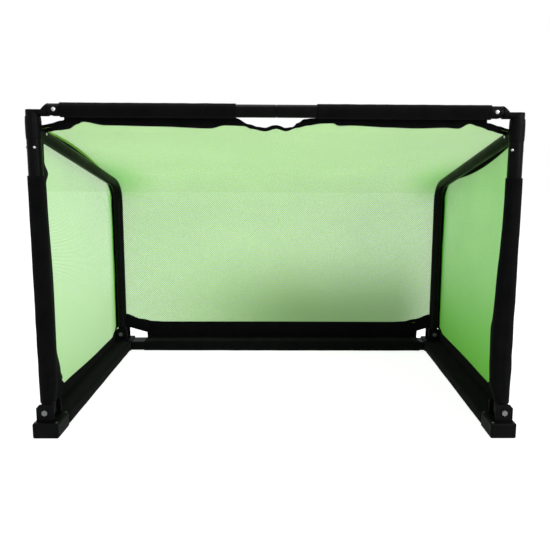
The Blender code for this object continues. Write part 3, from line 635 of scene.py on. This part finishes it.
BAND_EDGE = {                   # (|x|, z) of the lower edge of the band under the crossbar
    "left": [(0.078, 0.7670), (0.125, 0.7675), (0.159, 0.7600), (0.284, 0.7640), (0.410, 0.7660),
             (0.463, 0.7740), (0.477, 0.7680), (0.496, 0.7570), (0.520, 0.7545)],
    "right": [(0.078, 0.7690), (0.099, 0.7730), (0.135, 0.7740), (0.150, 0.7680), (0.176, 0.7690),
              (0.270, 0.7650), (0.333, 0.7630), (0.408, 0.7650), (0.438, 0.7630), (0.464, 0.7745),
              (0.490, 0.7680), (0.520, 0.7570)],
}


def crossbar_sleeve(label, side):
    """Cloth round one crossbar half, whose seam allowance hangs below it as a wavy band."""
    start, end = SLEEVE_X
    rows, turn_points, band_points = 110, 26, 5
    radius = BAR_R + 0.0012
    grid = []
    for r in range(rows + 1):
        x = lerp(start, end, r / rows)
        low_z = along(BAND_EDGE[label], x)
        section = []
        for i in range(band_points):
            t = i / band_points
            wave = 0.0022 * (1 - t) * ripple(x, side * 2, 0, 0.035)
            section.append(Vector((side * x, BAND_Y + wave, lerp(low_z, BAR.z - 0.004, t))))
        for across, up in ring((0, 0), 1.0, -10, 318, turn_points):
            loose = radius + 0.0004 + 0.0005 * ripple(x, across * 0.03, up * 0.03, 0.03)
            section.append(Vector((side * x, BAR.y + loose * across, BAR.z + loose * up)))
        grid.append(section)
    sleeve = loft(f"crossbar_sleeve_cloth_{label}", grid, FINISHES["black_fabric"])
    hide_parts(f"crossbar_sleeve_{label}", "net_front_hem")
    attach(sleeve, f"crossbar_{label}")


def centre_band(label, side):
    """The net's front hem where it crosses the bare middle of the bar and droops."""
    rows, columns = 40, 6
    grid = []
    for r in range(rows + 1):
        x = lerp(0.0, SLEEVE_X[0] + 0.008, r / rows)
        top, low = along(CENTRE_TOP[label], x), along(CENTRE_LOW[label], x)
        grid.append([Vector((side * x, BAND_Y + 0.001 * math.sin(math.pi * i / columns) + 0.0012,
                             lerp(low, top, i / columns))) for i in range(columns + 1)])
    band = loft(f"net_front_band_{label}", grid, FINISHES["black_fabric"])
    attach(band, f"crossbar_{label}")
    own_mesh(band)


def corner_strap(label, side):
    """The short strap from the end of the crossbar's band to the bent tube behind the elbow."""
    start, end = 0.494, POST.x
    behind_elbow = 0.014
    rows, columns = 22, 4
    grid = []
    for r in range(rows + 1):
        x = lerp(start, end, r / rows)
        y = POST.y + BAR_R + 0.0042 + behind_elbow * smooth((x - 0.53) / 0.03)
        grid.append([Vector((side * x, y + 0.0015 * math.sin(math.pi * i / columns),
                             lerp(along(STRAP_LOW[label], x), along(STRAP_TOP[label], x), i / columns)))
                     for i in range(columns + 1)])
    strap = loft(f"corner_strap_{label}", grid, FINISHES["black_fabric"])
    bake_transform(strap)


def seam_binding(label, side):
    """The black strip folded over the seam of the side net and the roof and back net, with a narrow
    turn on to the roof and back. On the left it bows up with the seam; on the right it sags."""
    rows, turn_in = 110, 0.009
    first, last = 0.035, 1.018          # along the net's line, from the elbow down to the skirts
    sag = {"left": 0.0, "right": 0.022}[label]
    drop, rear_drop = 0.013, 0.006      # its depth on the side, and how much more at the back
    outer_x = SIDE_X + 0.0014
    grid = []
    for r in range(rows + 1):
        t = lerp(first, last, r / rows)
        y, z = net_line(NET_BEND_R, t)
        y2, z2 = net_line(NET_BEND_R, t + 0.004)
        direction = Vector((0, y2 - y, z2 - z)).normalized()
        outward = Vector((0, -direction.z, direction.y))
        top = SEAM_RISE[label] * seam_arch(t) + 0.0004 * ripple(t, side, 3, 0.04)
        foot = -drop - rear_drop * smooth((t - 0.40) / 0.15) - sag * seam_arch(t)
        centre = Vector((0, y, z))
        wave = 0.0008 * ripple(t * 3, side, 0, 0.05)
        section = [(foot, INNER_X), ((foot + top) / 2, INNER_X - 0.0004), (top - 0.0016, INNER_X),
                   (top - 0.0018, INNER_X - turn_in), (top + 0.0014, INNER_X - turn_in - 0.0008),
                   (top + 0.0014, outer_x), ((foot + top) / 2, SIDE_X + 0.0016), (foot, SIDE_X + 0.0012)]
        grid.append([centre + outward * k + Vector((side * (x + wave), 0, 0)) for k, x in section])
    strip = loft(f"seam_strip_{label}", grid, FINISHES["black_fabric"])
    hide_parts(f"seam_binding_{label}")
    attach(strip, f"side_{label}")


SKIRT_SLACK, SKIRT_RIPPLE = 0.0013, 0.0005        # how far a skirt stands off its bar, give or take
LAP, LAP_RISE = 0.008, 0.0016           # its free edge's place on top of the bar, in from the outer side


def wrapped_bar(section_low, section_high, slack):
    """The cloth's way round a bar: (across, up) from the foot of the fin, round under the bar, and
    back. `across` runs from the inner side to the outer side."""
    radius, steps = 0.006, 5
    low, high = Vector(section_low), Vector(section_high)
    corners = [((high.x - radius, high.y - radius), 90), ((high.x - radius, low.y + radius), 0),
               ((low.x + radius, low.y + radius), -90), ((low.x + radius, high.y - radius), -180)]
    for centre, start in corners:
        yield from ring(centre, radius + slack, start, start - 90, steps)


def side_skirt(label, side):
    """Cloth round an arm of the base, up to the bottom of the side net."""
    rows, fin_points = 80, 7
    start, end = ARM_LOW.y + 0.0004, ARM_HIGH.y + 0.020
    grid = []
    for r in range(rows + 1):
        y = lerp(start, end, r / rows)
        top_z = along(SKIRT_TOP[label], y)
        slack = SKIRT_SLACK + SKIRT_RIPPLE * ripple(y, side, 0, 0.06)
        section = []
        for i in range(fin_points + 1):
            t = i / fin_points
            wave = 0.0012 * math.sin(math.pi * t) * ripple(y, t, side, 0.07)
            x = INNER_X - 0.0012 - abs(wave)
            section.append(Vector((side * x, y, lerp(top_z, ARM_HIGH.z + 0.003, t))))
        for across, up in wrapped_bar((ARM_LOW.x, ARM_LOW.z), (ARM_HIGH.x, ARM_HIGH.z), slack):
            section.append(Vector((side * across, y, up)))
        section.append(Vector((side * (ARM_HIGH.x - LAP), y, ARM_HIGH.z + LAP_RISE)))
        grid.append(section)
    skirt = loft(f"side_skirt_cloth_{label}", grid, FINISHES["black_fabric"])
    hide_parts(f"side_skirt_{label}")
    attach(skirt, "base")


REAR_SKIRT_TOP = [              # (|x|, z) of its upper edge, and of the rear straps'
    (0.0, 0.0990), (0.42, 0.0985), (0.465, 0.1005), (0.505, 0.1095), (0.562, 0.1285),
]
REAR_SKIRT_END = {"left": 0.489, "right": 0.519}
BACK_FACE_Y = NET_BACK_Y - 0.0014       # black cloth sewn to the inner face of the back net
FIN_FOOT_Y = REAR_BAR_HIGH.y - 0.004    # where the rear skirt's flap leaves the bar
FIN_FOOT_Z = REAR_BAR_HIGH.z + 0.002


def rear_skirt():
    """Cloth wrapped round the rear bar."""
    rows = 110
    low, high = (REAR_BAR_LOW.y, REAR_BAR_LOW.z), (REAR_BAR_HIGH.y, REAR_BAR_HIGH.z)
    grid = []
    for r in range(rows + 1):
        x = lerp(-REAR_SKIRT_END["left"], REAR_SKIRT_END["right"], r / rows)
        slack = SKIRT_SLACK + SKIRT_RIPPLE * ripple(x, 5, 0, 0.07)
        section = [Vector((x, FIN_FOOT_Y, FIN_FOOT_Z))]
        section += [Vector((x, across, up)) for across, up in wrapped_bar(low, high, slack)]
        section.append(Vector((x, REAR_BAR_HIGH.y - LAP, REAR_BAR_HIGH.z + LAP_RISE)))
        grid.append(section)
    skirt = loft("rear_skirt_cloth", grid, FINISHES["black_fabric"])
    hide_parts("rear_skirt")
    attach(skirt, "base")


def rear_skirt_fin(label, side):
    """Half of the rear skirt's flap, from its bar up to the bottom of the back net. A side frame that
    folds down lies on it."""
    rows, columns = 56, 8
    grid = []
    for r in range(rows + 1):
        x = side * lerp(0, REAR_SKIRT_END[label], r / rows)
        top_z = along(REAR_SKIRT_TOP, abs(x))
        section = []
        for i in range(columns + 1):
            t = i / columns
            wave = 0.0016 * math.sin(math.pi * t) * ripple(x, t, 7, 0.09)
            y = lerp(BACK_FACE_Y, FIN_FOOT_Y, t)
            section.append(Vector((x, y + wave, lerp(top_z, FIN_FOOT_Z, t))))
        grid.append(section)
    fin = loft(f"rear_skirt_fin_{label}", grid, FINISHES["black_fabric"])
    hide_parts("rear_skirt")
    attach(fin, "base")
    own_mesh(fin)


def rear_strap(label, side):
    """The strap from the rear skirt up to the seam at the upright."""
    rows, columns = 22, 6
    start = REAR_SKIRT_END[label] - 0.010
    low_start, low_end = {"left": 0.056, "right": 0.062}[label], 0.092
    grid = []
    for r in range(rows + 1):
        t = r / rows
        x = lerp(start, SIDE_X, t)
        low_z = lerp(low_start, low_end, t)
        y = BACK_FACE_Y - 0.003 * math.sin(math.pi * t)
        grid.append([Vector((side * x, y - 0.001 * math.sin(math.pi * i / columns),
                             lerp(low_z, along(REAR_SKIRT_TOP, x), i / columns)))
                     for i in range(columns + 1)])
    strap = loft(f"rear_corner_strap_{label}", grid, FINISHES["black_fabric"])
    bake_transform(strap)


# ---- the set ----
def studio():
    """A bright, even room on a pale floor that glows for the camera, and two soft lamps."""
    room_light, floor_light, floor_seen = 0.78, 0.32, 0.85
    world = bpy.data.worlds.new("studio")
    bpy.context.scene.world = world
    world.use_nodes = True
    tree = world.node_tree
    background = tree.nodes["Background"]
    seen = node(tree, "ShaderNodeBackground")
    seen.inputs["Color"].default_value = (1, 1, 1, 1)
    background.inputs["Color"].default_value = (0.96, 0.98, 1.0, 1)
    background.inputs["Strength"].default_value = room_light
    choose = node(tree, "ShaderNodeMixShader")
    tree.links.new(node(tree, "ShaderNodeLightPath").outputs["Is Camera Ray"], choose.inputs["Fac"])
    tree.links.new(background.outputs["Background"], choose.inputs[1])
    tree.links.new(seen.outputs["Background"], choose.inputs[2])
    tree.links.new(choose.outputs["Shader"], tree.nodes["World Output"].inputs["Surface"])

    floor_mesh = bpy.data.meshes.new("floor")
    half = 12.0
    corners = [(-half, -half, 0), (half, -half, 0), (half, half, 0), (-half, half, 0)]
    floor_mesh.from_pydata(corners, [], [(0, 1, 2, 3)])
    floor = bpy.data.objects.new("floor", floor_mesh)
    floor.location.z = -0.0005
    bpy.context.scene.collection.objects.link(floor)
    material, tree, shader = new_material("pale_floor", (0.35, 0.35, 0.35), 0.9, specular=0.0)
    shader.inputs["Emission Color"].default_value = (1, 1, 1, 1)
    is_seen = node(tree, "ShaderNodeLightPath").outputs["Is Camera Ray"]
    glow = mapped(tree, is_seen, floor_light, floor_seen)
    tree.links.new(glow, shader.inputs["Emission Strength"])
    floor_mesh.materials.append(material)

    def softbox(name, at, aim, size, power):
        lamp = bpy.data.lights.new(name, "AREA")
        lamp.size = size
        lamp.energy = power
        obj = bpy.data.objects.new(name, lamp)
        obj.location = at
        obj.rotation_euler = (Vector(aim) - Vector(at)).to_track_quat("-Z", "Y").to_euler()
        bpy.context.scene.collection.objects.link(obj)

    softbox("key", (2.2, -2.4, 1.7), (-0.3, 0.1, 0.35), 1.4, 70)
    softbox("top", (-0.6, 0.5, 2.6), (-0.1, 0.1, 0), 1.8, 34)


def camera():
    """A camera in front of the mouth, a little lower than the crossbar, looking slightly down."""
    data = bpy.data.cameras.new("camera")
    data.sensor_width = 36
    data.lens = LENS_MM
    data.shift_x, data.shift_y = CAMERA_SHIFT
    obj = bpy.data.objects.new("camera", data)
    bpy.context.scene.collection.objects.link(obj)
    turn = (Matrix.Rotation(-CAMERA_YAW, 4, "Z") @ Matrix.Rotation(math.pi / 2 - CAMERA_PITCH, 4, "X")
            @ Matrix.Rotation(CAMERA_ROLL, 4, "Z"))
    obj.matrix_world = Matrix.Translation(CAMERA_AT) @ turn
    bpy.context.scene.camera = obj


def main():
    camera()
    studio()
    finish_cad_nodes()
    rear_skirt()
    for label, side in SIDES.items():
        rear_skirt_fin(label, side)
        side_skirt(label, side)
        rear_strap(label, side)
        post_sleeve(label, side)
        crossbar_sleeve(label, side)
        centre_band(label, side)
        corner_strap(label, side)
        seam_binding(label, side)
        side_net(label, side)
        roof_back_net(label, side)


main()
bpy.context.scene.view_settings.view_transform = "Standard"
